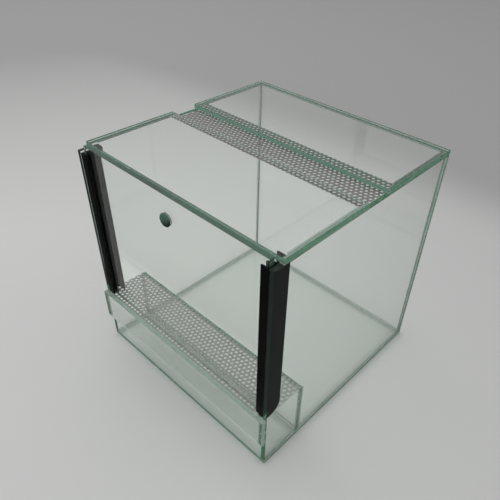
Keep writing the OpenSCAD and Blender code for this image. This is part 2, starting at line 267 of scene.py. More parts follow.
class StageSettings(bpy.types.PropertyGroup):
    floor_colour: colour_setting("Floor colour", "Pale matt table top", (0.677, 0.677, 0.672))
    # Painted shade: the darker tone that the table top's painted falloff of light reaches behind the tank
    far_shade_colour: colour_setting(
        "Far colour", "Tone that the table top fades to behind the tank", (0.376, 0.376, 0.376))
    floor_size: FloatProperty(
        name="Floor size", description="Width of the floor and the backdrop",
        default=9.0, min=1, unit="LENGTH")
    camera_place: FloatVectorProperty(
        name="Camera place", description="Where the photograph was taken from",
        default=(0.2385, -0.2608, 0.3759), size=3, subtype="TRANSLATION", unit="LENGTH")
    camera_aim: FloatVectorProperty(
        name="Camera aim", description="Point that the camera looks at",
        default=(-0.0063, 0.0113, 0.0800), size=3, subtype="TRANSLATION", unit="LENGTH")
    camera_roll: FloatProperty(
        name="Camera roll", description="Turn of the camera about its own axis",
        default=math.radians(2.2), subtype="ANGLE", unit="ROTATION")
    lens: FloatProperty(
        name="Lens", description="Focal length on a 36 mm sensor, in millimetres",
        default=36.94, min=10)
    shift: FloatVectorProperty(
        name="Shift", description="Offset of the photograph's frame",
        default=(-0.0276, 0.0254), size=2)


def opaque(colour):
    """Three numbers as a colour socket takes them, or a socket as it is"""
    return colour if isinstance(colour, bpy.types.NodeSocket) else (*colour, 1.0)


class NodeWriter:
    """Short calls that write a node tree, whose numbers, vectors and colours are values or sockets"""

    def __init__(self, tree):
        self.tree = tree

    def node(self, kind, sockets=None, **properties):
        node = self.tree.nodes.new(kind)
        for key, value in properties.items():
            setattr(node, key, value)
        for key, value in (sockets or {}).items():
            if isinstance(value, bpy.types.NodeSocket):
                self.tree.links.new(value, node.inputs[key])
            else:
                node.inputs[key].default_value = value
        return node

    def math(self, operation, first, second=0.0, clamp=False):
        sockets = {0: first, 1: second}
        return self.node("ShaderNodeMath", sockets, operation=operation, use_clamp=clamp).outputs[0]

    def range(self, value, from_min, from_max, to_min=0.0, to_max=1.0, curve="LINEAR"):
        """A value carried from one span to another, and held at its ends"""
        return self.node("ShaderNodeMapRange", {
            "Value": value, "From Min": from_min, "From Max": from_max,
            "To Min": to_min, "To Max": to_max}, interpolation_type=curve).outputs["Result"]


class SurfaceWriter(NodeWriter):
    """Short calls that write a material"""

    def __init__(self, name):
        self.material = bpy.data.materials.new(name)
        self.material.use_nodes = True
        super().__init__(self.material.node_tree)
        self.tree.nodes.clear()
        self.output = self.node("ShaderNodeOutputMaterial")

    def mixed_values(self, factor, first, second):
        sockets = {0: factor, 2: first, 3: second}
        return self.node("ShaderNodeMix", sockets, data_type="FLOAT").outputs[0]

    def mixed_colours(self, factor, first, second, blend="MIX"):
        sockets = {0: factor, 6: opaque(first), 7: opaque(second)}
        return self.node("ShaderNodeMix", sockets, data_type="RGBA", blend_type=blend).outputs[2]

    def place(self):
        """The place on the object, in its own coordinates"""
        return self.node("ShaderNodeTexCoord").outputs["Object"]

    def axes(self):
        """X, Y and Z of the place on the object"""
        return self.node("ShaderNodeSeparateXYZ", {0: self.place()}).outputs

    def vectors(self, operation, *vectors):
        """A Vector Math node's outputs"""
        return self.node("ShaderNodeVectorMath", dict(enumerate(vectors)), operation=operation).outputs

    def along(self, vector, direction):
        """How far a vector reaches along a direction"""
        return self.vectors("DOT_PRODUCT", vector, direction)["Value"]

    def noise(self, scale, stretch=(1.0, 1.0, 1.0), detail=3.0):
        """Noise on Object coordinates, stretched along an axis"""
        mapping = self.node("ShaderNodeMapping", {"Vector": self.place(), "Scale": stretch})
        return self.node("ShaderNodeTexNoise", {
            "Vector": mapping.outputs["Vector"], "Scale": scale, "Detail": detail}).outputs["Fac"]

    def noisy_roughness(self, smoothest, first, second):
        """A roughness that grows from its smoothest with two noises, each given with its weight"""
        spread = self.math("ADD", self.math("MULTIPLY", *first), self.math("MULTIPLY", *second))
        return self.math("ADD", spread, smoothest)

    def bump(self, height, strength, distance):
        sockets = {"Height": height, "Strength": strength, "Distance": distance}
        return self.node("ShaderNodeBump", sockets).outputs["Normal"]

    def principled(self, sockets):
        return self.node("ShaderNodeBsdfPrincipled", sockets)

    def shown(self, shader):
        """The material, with a shader on its surface"""
        self.tree.links.new(shader.outputs[0], self.output.inputs["Surface"])
        return self.material

    def shown_with_light_through(self, shader, soft_ray, tint):
        """The material, with a shader that soft rays pass straight through, so that light gets in"""
        clear = self.node("ShaderNodeBsdfTransparent", {"Color": opaque(tint)})
        return self.shown(self.node("ShaderNodeMixShader", {
            0: soft_ray, 1: shader.outputs[0], 2: clear.outputs[0]}))


def edge_mask(w, axis):
    """1 on a pane's ground edges and 0 on its two polished faces"""
    normal = w.node("ShaderNodeTexCoord").outputs["Normal"]
    lean = w.math("ABSOLUTE", w.along(normal, AXES[axis]))
    return w.range(lean, 0.80, 0.95, 1.0, 0.0)


def end_mask(w, direction, pane):
    """1 on a pane's end in one direction and 0 elsewhere, also where it is seen through the glass"""
    end = max(Vector(direction).dot(corner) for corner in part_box(pane))
    return w.range(w.along(w.place(), direction), end - 0.6 * MM, end - 0.3 * MM)


def edge_colour(finish, settings):
    """A finish's tint, as deep as the user sets it"""
    return tuple(channel ** settings.edge_depth for channel in finish.tint)


def glass_material(name, axis, finish, turned, pane, settings):
    """Float glass with faint smears, ground green edges and a tint that grows with depth

    turned gives an end of the pane, by its direction, a finish of its own.
    """
    w = SurfaceWriter(name)
    edge = edge_mask(w, axis)
    clouding, edge_tint = 1.0 - finish.clearness, edge_colour(finish, settings)
    for direction, other in turned.items():
        facing = end_mask(w, direction, pane)
        clouding = w.mixed_values(facing, clouding, 1.0 - other.clearness)
        edge_tint = w.mixed_colours(facing, edge_tint, edge_colour(other, settings))
    smear = w.range(w.noise(SMEARS, detail=5.0), 0.56, 0.78, 0.0, 0.035)
    grind = w.range(
        w.noise(GRINDING, detail=2.0), 0.3, 0.7, 0.85 * finish.roughness, 1.15 * finish.roughness)
    ripple = w.math("MULTIPLY", w.noise(RIPPLES), edge)
    glass = w.principled({
        "Base Color": w.mixed_colours(edge, settings.face_tint, edge_tint),
        "Roughness": w.mixed_values(edge, smear, grind),
        "IOR": settings.ior,
        "Transmission Weight": w.math("SUBTRACT", 1.0, w.math("MULTIPLY", edge, clouding)),
        "Normal": w.bump(ripple, 0.04, 0.05 * MM)})
    path = w.node("ShaderNodeLightPath").outputs
    soft_ray = w.math("MAXIMUM", path["Is Shadow Ray"], path["Is Diffuse Ray"])
    body = w.node("ShaderNodeVolumeAbsorption", {
        "Color": opaque(settings.body_tint), "Density": settings.body_density})
    w.tree.links.new(body.outputs[0], w.output.inputs["Volume"])
    return w.shown_with_light_through(
        glass, soft_ray, w.mixed_colours(edge, FACE_SHADOW, EDGE_SHADOW))


def rail_material(settings):
    """Extruded black plastic with long die lines, rub marks and a soft gloss"""
    w = SurfaceWriter("black_rail_plastic")
    lines = w.noise(DIE_LINES, (1.0, 1.0, 0.012))
    rubs = w.noise(RUB_MARKS, (1.0, 1.0, 0.35), 5.0)
    return w.shown(w.principled({
        "Base Color": w.mixed_colours(w.range(rubs, 0.45, 0.75), settings.colour, RUBBED_BLACK),
        "Roughness": w.noisy_roughness(settings.roughness - 0.16, (lines, 0.16), (rubs, 0.20)),
        "IOR": 1.5,
        "Specular IOR Level": 0.12,
        "Normal": w.bump(lines, 0.20, 0.03 * MM)}))


def aluminium_material(name, tone, bonded_from, settings):
    """Rolled aluminium with fine grain along its length, darker behind bonded_from, where it is wet"""
    w = SurfaceWriter(name)
    grain = w.noise(ROLLING_GRAIN, (0.02, 1.0, 1.0))
    patches = w.noise(METAL_PATCHES, (0.6, 1.0, 1.0), 4.0)
    dry = w.mixed_colours(w.range(patches, 0.35, 0.75), tone, [0.93 * c for c in tone])
    wet = w.range(w.axes()["Y"], bonded_from, bonded_from + MM)
    return w.shown(w.principled({
        "Base Color": w.mixed_colours(wet, dry, WET_SHARE, "MULTIPLY"),
        "Metallic": 0.6,
        "Roughness": w.noisy_roughness(settings.roughness - 0.18, (grain, 0.18), (patches, 0.18)),
        "Normal": w.bump(grain, 0.12, 0.02 * MM)}))


def silicone_material(name, tint, cloudiness, ior):
    """Clear silicone that lets most of the light through and is a little cloudy where it is thick"""
    w = SurfaceWriter(name)
    cloud = w.noise(SILICONE_CLOUDS, detail=4.0)
    rubber = w.principled({
        "Base Color": w.mixed_colours(w.range(cloud, 0.35, 0.7), tint, [0.88 * c for c in tint]),
        "Roughness": w.range(cloud, 0.3, 0.7, 0.16, 0.30),
        "IOR": ior,
        "Transmission Weight": 1.0 - cloudiness,
        "Normal": w.bump(cloud, 0.10, 0.05 * MM)})
    shadow_ray = w.node("ShaderNodeLightPath").outputs["Is Shadow Ray"]
    return w.shown_with_light_through(
        rubber, shadow_ray, CLOUDY_SHADOW if cloudiness else CLEAR_SHADOW)


def plug_material(low, high):
    """Translucent green plug with painted shade, darker towards its lower right, where the port shades it
    """
    w = SurfaceWriter("green_soft_plug")
    lower_right = Vector((0.55, 0.0, -0.84))
    centre, radius = lower_right.dot((low + high) / 2), (high.x - low.x) / 2
    along = w.along(w.place(), lower_right)
    shade = w.range(along, centre - 0.2 * radius, centre + 0.95 * radius)
    cloud = w.math("MULTIPLY", w.noise(RUBBER_CLOUDS), 0.35)
    return w.shown(w.principled({
        "Base Color": w.mixed_colours(w.math("ADD", shade, cloud, clamp=True), *PLUG_GREEN_AND_PAINTED_SHADE),
        "Roughness": w.range(cloud, 0.1, 0.25, 0.25, 0.45),
        "IOR": 1.45,
        "Normal": w.bump(cloud, 0.15, 0.05 * MM)}))


def contact_material():
    """Dark contact layer where a rail is glued flat to its pane and no air is left between them"""
    w = SurfaceWriter("rail_contact")
    patches = w.noise(CONTACT_PATCHES, (1.0, 1.0, 0.4), 4.0)
    return w.shown(w.principled({
        "Base Color": w.mixed_colours(w.range(patches, 0.35, 0.7), *CONTACT_BLACKS),
        "Roughness": w.range(patches, 0.3, 0.7, 0.4, 0.6),
        "IOR": 1.1}))


def floor_material(settings):
    """Matt pale table top with a painted falloff of light, to a darker tone behind the tank

    Mirrored in the glass it gets painted shade. Seen through the glass it gets a painted shadow at the
    tank's front edge and painted light behind that, most of all behind the lower strip.
    """
    w = SurfaceWriter("pale_table")
    place = w.place()
    x, y, _ = w.axes()
    path = w.node("ShaderNodeLightPath").outputs
    through_glass = path["Is Transmission Ray"]

    # Painted falloff of light: bright round a centre in front of the tank, darker behind it
    along = w.along(place, FADE_DIRECTION)
    offset = w.vectors("SUBTRACT", place, FADE_CENTRE)[0]
    around = w.vectors("LENGTH", w.vectors("MULTIPLY", offset, FADE_STRETCH)[0])["Value"]
    lit = w.math("MULTIPLY", w.range(along, *FADE_ALONG), w.range(around, *FADE_ROUND))
    light_falloff = w.math("SUBTRACT", 1.0, lit)
    mottle = w.math("MULTIPLY", w.noise(FLOOR_MOTTLE), 0.06)
    blend = w.math("ADD", light_falloff, mottle, clamp=True)
    colour = w.mixed_colours(blend, settings.floor_colour, settings.far_shade_colour)

    # Painted shade: darker where the table top shows mirrored in the glass, and a painted shadow at the
    # tank's front edge seen through the glass
    mirrored = w.math("MULTIPLY", path["Is Glossy Ray"], w.math("SUBTRACT", 1.0, through_glass))
    mirror_shade = w.math("MULTIPLY", mirrored, w.range(along, *MIRROR_SHADE))
    slot_shade = w.math("MULTIPLY", through_glass, w.range(y, *SLOT_SHADE))
    shade = w.math("MAXIMUM", mirror_shade, slot_shade)
    floor_with_painted_shade = w.mixed_colours(shade, colour, BLACK, "MULTIPLY")

    # Painted light on the table top seen through the glass: brighter behind the front edge, most of all
    # behind the lower strip
    behind_strip = w.math("MULTIPLY", w.range(y, *STRIP_ALONG_Y), w.range(x, *STRIP_ALONG_X))
    bright = w.math("MULTIPLY", behind_strip, w.range(y, *STRIP_PAINTED_LIGHT))
    level = w.math("ADD", w.range(y, *CHAMBER_PAINTED_LIGHT), bright)
    near = w.math("MULTIPLY", w.math("SUBTRACT", 1.0, light_falloff), level)
    lift = w.math("MULTIPLY", through_glass, near)
    return w.shown(w.principled({
        "Base Color": w.mixed_colours(lift, floor_with_painted_shade, PAINTED_LIGHT_GAIN, "MULTIPLY"),
        "Roughness": 0.75,
        "Specular IOR Level": 0.2}))


def dress(node_name, material):
    """Gives a carried-over CAD node its material"""
    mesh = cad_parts[node_name].data
    mesh.materials.clear()
    mesh.materials.append(material)


def tank_piece(mesh, node):
    """A finished piece, named as its mesh, that stands for a CAD node of the tank"""
    piece = bpy.data.objects.new(mesh.name, mesh)
    bpy.context.scene.collection.objects.link(piece)
    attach(piece, TANK_BODY)
    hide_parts(node)


class GeometryWriter(NodeWriter):
    """Short calls that write a Geometry Nodes tree with named inputs"""

    def __init__(self, name):
        super().__init__(bpy.data.node_groups.new(name, "GeometryNodeTree"))
        self.tree.interface.new_socket("Geometry", in_out="OUTPUT", socket_type="NodeSocketGeometry")
        self.entry = self.node("NodeGroupInput")
        self.exit = self.node("NodeGroupOutput")
        self.sockets = {}

    def input(self, name, kind="NodeSocketFloat"):
        self.sockets[name] = self.tree.interface.new_socket(name, in_out="INPUT", socket_type=kind)

    def given(self, name):
        return self.entry.outputs[name]

    def vector(self, x, y, z):
        return self.node("ShaderNodeCombineXYZ", {0: x, 1: y, 2: z}).outputs[0]


def perforated_sheet_tree():
    """Sheet with staggered holes, cut from a larger one, with its left front corner at Corner"""
    w = GeometryWriter("perforated_sheet")
    for name in ("Length", "Depth", "Thickness", "Pitch", "Hole Diameter", "Rim"):
        w.input(name)
    for name in ("First Hole", "Corner"):
        w.input(name, "NodeSocketVector")
    w.input("Segments", "NodeSocketInt")
    w.input("Material", "NodeSocketMaterial")
    length, depth, thick = w.given("Length"), w.given("Depth"), w.given("Thickness")
    pitch, hole = w.given("Pitch"), w.given("Hole Diameter")
    radius = w.math("MULTIPLY", hole, 0.5)
    row_pitch = w.math("MULTIPLY", pitch, math.sin(math.radians(60)))
    columns = w.math("ADD", w.math("CEIL", w.math("DIVIDE", length, pitch)), 3.0)
    rows = w.math("ADD", w.math("CEIL", w.math("DIVIDE", depth, row_pitch)), 2.0)

    # Points of the staggered grid: a grid's points run along Y first
    grid = w.node("GeometryNodeMeshGrid", {"Vertices X": columns, "Vertices Y": rows})
    index = w.node("GeometryNodeInputIndex").outputs[0]
    row = w.math("MODULO", index, rows)
    column = w.math("SUBTRACT", w.math("FLOOR", w.math("DIVIDE", index, rows)), 1.0)
    stagger = w.math("MULTIPLY", w.math("MODULO", row, 2.0), 0.5)
    first = w.node("ShaderNodeSeparateXYZ", {0: w.given("First Hole")})
    x = w.math("ADD", first.outputs[0], w.math("MULTIPLY", pitch, w.math("ADD", column, stagger)))
    y = w.math("ADD", first.outputs[1], w.math("MULTIPLY", row_pitch, row))
    placed = w.node(
        "GeometryNodeSetPosition", {"Geometry": grid.outputs[0], "Position": w.vector(x, y, 0.0)})

    # Only holes that reach the sheet are kept, and none in a corner
    spot = w.node("ShaderNodeSeparateXYZ", {0: w.node("GeometryNodeInputPosition").outputs[0]})
    half_length, half_depth = w.math("MULTIPLY", length, 0.5), w.math("MULTIPLY", depth, 0.5)
    from_end, from_edge = (
        w.math("SUBTRACT", half, w.math("ABSOLUTE", w.math("SUBTRACT", spot.outputs[axis], half)))
        for axis, half in enumerate((half_length, half_depth)))
    nearest, farthest = (w.math(choice, from_end, from_edge) for choice in ("MINIMUM", "MAXIMUM"))
    outside = w.math("LESS_THAN", nearest, w.math("MULTIPLY", radius, -1.0))
    corner = w.math("LESS_THAN", farthest, radius)
    gone = w.math("MAXIMUM", outside, corner)
    kept = w.node("GeometryNodeDeleteGeometry", {
        "Geometry": placed.outputs[0], "Selection": gone}, domain="POINT")

    # One punch: a pin through the sheet that widens over the rim at the upper face
    pin = w.node("GeometryNodeMeshCylinder", {
        "Vertices": w.given("Segments"), "Side Segments": 2, "Radius": radius,
        "Depth": w.math("MULTIPLY", thick, 4.0)})
    pin_spot = w.node("ShaderNodeSeparateXYZ", {0: w.node("GeometryNodeInputPosition").outputs[0]})
    is_top = w.math("GREATER_THAN", pin_spot.outputs[2], w.math("MULTIPLY", thick, 0.5))
    is_middle = w.math("COMPARE", pin_spot.outputs[2], 0.0)
    rim = w.given("Rim")
    widen = w.math("DIVIDE", w.math("MULTIPLY", rim, 2.0), radius)
    spread = w.math("ADD", w.math("MULTIPLY", is_top, widen), 1.0)
    lift_top = w.math("MULTIPLY", is_top, w.math("ADD", thick, rim))
    lift_middle = w.math("MULTIPLY", is_middle, w.math("SUBTRACT", thick, rim))
    keep_low = w.math("LESS_THAN", pin_spot.outputs[2], w.math("MULTIPLY", thick, -0.5))
    drop_low = w.math("MULTIPLY", keep_low, w.math("MULTIPLY", thick, -1.0))
    height = w.math("ADD", drop_low, w.math("ADD", lift_top, lift_middle))
    across = [w.math("MULTIPLY", pin_spot.outputs[axis], spread) for axis in (0, 1)]
    punch = w.node("GeometryNodeSetPosition", {
        "Geometry": pin.outputs["Mesh"], "Position": w.vector(*across, height)})
    punches = w.node("GeometryNodeInstanceOnPoints", {
        "Points": kept.outputs[0], "Instance": punch.outputs[0]})
    cutters = w.node("GeometryNodeRealizeInstances", {0: punches.outputs[0]})
    blank = w.node("GeometryNodeMeshCube", {"Size": w.vector(length, depth, thick)})
    half_thick = w.math("MULTIPLY", thick, 0.5)
    seated = w.node("GeometryNodeTransform", {
        "Geometry": blank.outputs[0], "Translation": w.vector(half_length, half_depth, half_thick)})
    cut = w.node("GeometryNodeMeshBoolean", {
        "Mesh 1": seated.outputs[0], "Mesh 2": cutters.outputs[0],
    }, operation="DIFFERENCE", solver="MANIFOLD")
    moved = w.node("GeometryNodeTransform", {
        "Geometry": cut.outputs[0], "Translation": w.given("Corner")})
    real = w.node("GeometryNodeRealizeInstances", {0: moved.outputs[0]})
    dressed = w.node("GeometryNodeSetMaterial", {
        "Geometry": real.outputs[0], "Material": w.given("Material")})
    w.tree.links.new(dressed.outputs[0], w.exit.inputs[0])
    return w


def grown_mesh(name, writer, values):
    """The plain mesh that a Geometry Nodes tree makes from its named inputs"""
    carrier = bpy.data.objects.new(name + "_maker", bpy.data.meshes.new(name + "_maker"))
    bpy.context.scene.collection.objects.link(carrier)
    modifier = carrier.modifiers.new(name, "NODES")
    modifier.node_group = writer.tree
    for label, value in values.items():
        modifier[writer.sockets[label].identifier] = value
    depsgraph = bpy.context.evaluated_depsgraph_get()
    mesh = bpy.data.meshes.new_from_object(carrier.evaluated_get(depsgraph), depsgraph=depsgraph)
    mesh.name = name
    carrier.modifiers.remove(modifier)
    bpy.data.objects.remove(carrier)
    if not mesh.polygons:
        raise RuntimeError(f"{name} came out empty")
    return mesh


def dress_panes(groups, settings):
    """Gives each group of panes its glass"""
    for name, (axis, finish, turned, panes) in groups.items():
        material = glass_material(name, axis, finish, turned, panes[0], settings)
        for pane in panes:
            dress(pane, material)


class TERRARIUM_OT_fixed_panes(bpy.types.Operator):
    """Dress the eight bonded glass panes"""
    bl_idname = "terrarium.fixed_panes"
    bl_label = "Fixed panes"

    def execute(self, context):
        dress_panes(FIXED_PANES, context.scene.terrarium_glass)
        return {"FINISHED"}


class TERRARIUM_OT_door_pane(bpy.types.Operator):
    """Dress the lift-up door pane"""
    bl_idname = "terrarium.door_pane"
    bl_label = "Door pane"

    def execute(self, context):
        dress_panes(DOOR_PANES, context.scene.terrarium_glass)
        return {"FINISHED"}


class TERRARIUM_OT_port_plug(bpy.types.Operator):
    """Dress the soft plug in the door's port"""
    bl_idname = "terrarium.port_plug"
    bl_label = "Port plug"

    def execute(self, context):
        dress("port_plug", plug_material(*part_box("port_plug")))
        return {"FINISHED"}


class TERRARIUM_OT_door_rails(bpy.types.Operator):
    """Dress the two black channel rails"""
    bl_idname = "terrarium.door_rails"
    bl_label = "Door rails"

    def execute(self, context):
        material = rail_material(context.scene.terrarium_rail)
        for rail in RAILS:
            dress(rail, material)
        return {"FINISHED"}


def smooth_wave(seed):
    """A repeatable slow wave between about -1 and 1 of a distance in metres"""
    dice = random.Random(seed)
    parts = [
        (dice.uniform(*WAVE_RATES), dice.uniform(0, math.tau), dice.uniform(*WAVE_WEIGHTS))
        for _ in range(WAVE_COUNT)]
    total = sum(weight for _, _, weight in parts)
    return lambda s: sum(weight * math.sin(rate * s + turn) for rate, turn, weight in parts) / total


def add_ring_run(bm, rings):
    """Joins closed rings of points into a capped run"""
    made = [[bm.verts.new(point) for point in ring] for ring in rings]
    count = len(made[0])
    for first, second in zip(made, made[1:]):
        for i in range(count):
            j = (i + 1) % count
            bm.faces.new((first[i], first[j], second[j], second[i]))
    bm.faces.new(list(reversed(made[0])))
    bm.faces.new(made[-1])


def closed_mesh(bm, name, *materials):
    """A mesh with its faces turned outwards and its materials, from a bmesh that it uses up"""
    bmesh.ops.recalc_face_normals(bm, faces=bm.faces)
    mesh = bpy.data.meshes.new(name)
    for material in materials:
        mesh.materials.append(material)
    bm.to_mesh(mesh)
    bm.free()
    return mesh


def rail_outline(low, high, margin, corner):
    """Outline in Y and Z of a rail's web less a margin, with its lower rear corner rounded"""
    front, rear, foot, head = low.y + margin, high.y - margin, low.z + margin, high.z - margin
    points = [(front, head), (front, foot)]
    if corner:
        radius = corner - margin
        for step in range(CORNER_SIDES + 1):
            turn = math.radians(90) * step / CORNER_SIDES
            points.append((
                rear - radius + radius * math.sin(turn), foot + radius - radius * math.cos(turn)))
    else:
        points.append((rear, foot))
    points.append((rear, head))
    return points


class TERRARIUM_OT_rail_bonds(bpy.types.Operator):
    """Lay the adhesive that joins each rail to its side pane"""
    bl_idname = "terrarium.rail_bonds"
    bl_label = "Rail bonds"

    def execute(self, context):
        settings = context.scene.terrarium_rail
        material = contact_material()
        for side, outwards, corner in (("left", -1, 0.0), ("right", 1, settings.corner_radius)):
            node = side + "_rail_bond"
            rail_low, rail_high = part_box(side + "_door_rail")
            low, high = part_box(node)
            outline = rail_outline(rail_low, rail_high, settings.margin, corner)
            bm = bmesh.new()
            add_ring_run(bm, [
                [(x + outwards * settings.bite, y, z) for y, z in outline] for x in (low.x, high.x)])
            tank_piece(closed_mesh(bm, node + "_layer", material), node)
        return {"FINISHED"}


class TERRARIUM_OT_vent_strips(bpy.types.Operator):
    """Punch both perforated aluminium strips"""
    bl_idname = "terrarium.vent_strips"
    bl_label = "Vent strips"

    def execute(self, context):
        settings = context.scene.terrarium_strip
        writer = perforated_sheet_tree()
        on_divider, under_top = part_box("divider_pane")[1].y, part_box("rear_top_pane")[0].y
        # Both strips are one aluminium; their tones differ by painted light on the lower strip and
        # painted shade on the top strip
        strips = {
            "lower_vent_strip": (settings.lower_first, settings.lower_colour, on_divider),
            "top_vent_strip": (settings.top_first, settings.top_colour, under_top),
        }
        for strip, (first, tone, bonded_from) in strips.items():
            material = aluminium_material(strip + "_aluminium", tone, bonded_from, settings)
            low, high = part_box(strip)
            size = high - low
            mesh = grown_mesh(strip + "_sheet", writer, {
                "Length": size.x,
                "Depth": size.y,
                "Thickness": size.z - 2 * settings.seat_gap,
                "Pitch": settings.pitch,
                "Hole Diameter": settings.hole_diameter,
                "Rim": settings.rim,
                "First Hole": (*first, 0.0),
                "Corner": (low.x, low.y, low.z + settings.seat_gap),
                "Segments": settings.segments,
                "Material": material})
            tank_piece(mesh, strip)
        return {"FINISHED"}


def add_bead(bm, start, end, leg_a, leg_b, settings, seed):
    """A hand-drawn fillet from start to end in the corner that leg_a and leg_b open into"""
    start, end, leg_a, leg_b = Vector(start), Vector(end), Vector(leg_a), Vector(leg_b)
    length = (end - start).length
    steps = max(2, round(length / BEAD_SPACING))
    wave_a, wave_b = smooth_wave(seed), smooth_wave(seed + 1)
    base = start + (leg_a + leg_b) * settings.skin
    rings = []
    for i in range(steps + 1):
        s = length * i / steps
        here = base + (end - start) * (i / steps)
        size_a = settings.leg * (1 + settings.wobble * wave_a(s))
        size_b = settings.leg * (1 + settings.wobble * wave_b(s))
        ring = [here, here + leg_a * size_a]
        for step in range(ARC_SIDES + 1):
            turn = math.radians(90) * step / ARC_SIDES
            a = size_a - (size_a - FEATHER) * math.sin(turn)
            b = size_b - (size_b - FEATHER) * math.cos(turn)
            ring.append(here + leg_a * a + leg_b * b)
        ring.append(here + leg_b * size_b)
        rings.append(ring)
    add_ring_run(bm, rings)


def add_film(bm, low, high, settings, seed):
    """A thin bonded layer between two glass edges, a little uneven along its two long sides"""
    low, high = Vector(low), Vector(high)
    size = high - low
    run = max(range(3), key=lambda k: size[k])
    thin = min(range(3), key=lambda k: size[k])
    wide = 3 - run - thin
    steps = max(2, round(size[run] / FILM_SPACING))
    wave_low, wave_high = smooth_wave(seed), smooth_wave(seed + 1)
    rings = []
    for i in range(steps + 1):
        s = size[run] * i / steps
        inner = low[wide] + settings.recess * 0.5 * (1 + wave_low(s))
        outer = high[wide] - settings.recess * 0.5 * (1 + wave_high(s))
        ring = []
        for across, up in ((inner, 0), (outer, 0), (outer, 1), (inner, 1)):
            point = Vector((0, 0, 0))
            point[run] = low[run] + s
            point[wide] = across
            point[thin] = high[thin] - settings.skin if up else low[thin] + settings.skin
            ring.append(point)
        rings.append(ring)
    add_ring_run(bm, rings)


def add_drop(bm, centre, settings, seed):
    """A drop of silicone that was left over, a little uneven"""
    wave = smooth_wave(seed)
    rings = []
    for step in range(1, DROP_RINGS):
        turn = math.pi * step / DROP_RINGS
        ring = []
        for part in range(DROP_SIDES):
            spin = math.tau * part / DROP_SIDES
            swell = 1 - settings.wobble * (1 + wave(0.004 * part + 0.01 * step)) / 2
            ring.append((
                centre[0] - DROP_RADII[0] * math.cos(turn),
                centre[1] + swell * DROP_RADII[1] * math.sin(turn) * math.cos(spin),
                centre[2] + swell * DROP_RADII[2] * math.sin(turn) * math.sin(spin)))
        rings.append(ring)
    add_ring_run(bm, rings)


def seam_plan(leg):
    """Each silicone seam's films, beads and drop, worked out from the panes that it joins"""
    base_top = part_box("base_pane")[1].z
    (inn, y_side, wall_low), (out, side_rear, wall_top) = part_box("right_side_pane")
    back_in, back_out = (corner.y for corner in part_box("back_pane"))
    (_, div_front, _), (div_end, div_rear, div_top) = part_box("divider_pane")
    (_, top_front, top_under), (_, top_gap, _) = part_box("front_top_pane")
    rear_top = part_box("rear_top_pane")[0].y
    lower_low, lower_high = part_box("lower_vent_strip")
    top_low, top_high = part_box("top_vent_strip")
    pane_low, pane_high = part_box("front_lower_pane")
    rail_left, rail_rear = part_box("right_door_rail")[0].x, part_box("right_door_rail")[1].y
    joint = wall_low - base_top
    low_bead, high_bead = base_top + leg, top_under - leg
    plan = {}
    for side, sign in (("left", -1), ("right", 1)):
        def film(x0, y0, z0, x1, y1, z1, sign=sign):
            xs = sorted((sign * x0, sign * x1))
            return ("film", (xs[0], y0, z0), (xs[1], y1, z1))

        def bead(x, start, end, leg_b, sign=sign):
            return ("bead", (sign * x, *start), (sign * x, *end), (-sign, 0, 0), leg_b)

        edge = abs(pane_low.x) if sign < 0 else pane_high.x
        plan[side + "_base_seal"] = [
            film(inn, y_side, base_top, out, back_in, wall_low),
            bead(inn, (y_side, base_top), (div_front, base_top), UP),
            bead(inn, (div_rear, base_top), (back_in, base_top), UP)]
        plan[side + "_rear_seal"] = [
            film(inn, side_rear, wall_low, out, back_in, wall_top),
            bead(inn, (back_in, low_bead), (back_in, high_bead), FORWARD)]
        plan[side + "_divider_seal"] = [
            film(div_end, div_front, base_top, inn, div_rear, div_top),
            bead(inn, (div_front, low_bead), (div_front, div_top), FORWARD),
            bead(inn, (div_rear, low_bead), (div_rear, div_top), REARWARD)]
        plan[side + "_front_seal"] = [
            film(inn, pane_high.y, pane_low.z, edge, y_side, pane_high.z),
            bead(inn, (pane_high.y, pane_low.z), (pane_high.y, lower_low.z - leg), REARWARD)]
        plan["front_top_" + side + "_seal"] = [
            film(inn, top_front, wall_top, out, top_gap, top_under),
            bead(inn, (rail_rear + joint, top_under), (top_low.y - joint, top_under), DOWN)]
        plan["rear_top_" + side + "_seal"] = [
            film(inn, rear_top, wall_top, out, back_in, top_under),
            bead(inn, (top_high.y + joint, top_under), (back_in, top_under), DOWN)]
    plan["right_front_seal"].append(("drop", (
        rail_left + DROP_RADII[0], y_side - DROP_RADII[1] - HAIR_GAP,
        pane_high.z + DROP_RADII[2] + HAIR_GAP)))

    def cross(y, z, leg_a, leg_b):
        return ("bead", (leg - inn, y, z), (inn - leg, y, z), leg_a, leg_b)

    plan["back_base_seal"] = [
        ("film", (-out, back_in, base_top), (out, back_out, wall_low)),
        cross(back_in, base_top, FORWARD, UP)]
    plan["divider_base_seal"] = [
        ("film", (-div_end, div_front, base_top), (div_end, div_rear, wall_low)),
        cross(div_front, base_top, FORWARD, UP), cross(div_rear, base_top, REARWARD, UP)]
    plan["rear_top_back_seal"] = [
        ("film", (-out, back_in, wall_top), (out, back_out, top_under)),
        cross(back_in, top_under, FORWARD, DOWN)]
    plan["lower_strip_seal"] = [
        ("film", (lower_low.x, div_front, div_top), (lower_high.x, lower_high.y, lower_low.z)),
        cross(pane_high.y, lower_low.z, REARWARD, DOWN)]
    plan["top_strip_seal"] = [
        ("film", (top_low.x, y, top_high.z), (top_high.x, y + 1.4 * MM, top_under))
        for y in (top_low.y + 1.0 * MM, rear_top + 0.3 * MM)]
    plan["top_strip_seal"].append((
        "squeezed", (top_low.x + MM, top_high.y - 1.3 * MM, top_low.z - 0.6 * MM),
        (top_high.x - MM, top_high.y + 0.7 * MM, top_low.z - HAIR_GAP)))
    return plan


SEAM_PARTS = {"film": add_film, "squeezed": add_film, "bead": add_bead, "drop": add_drop}


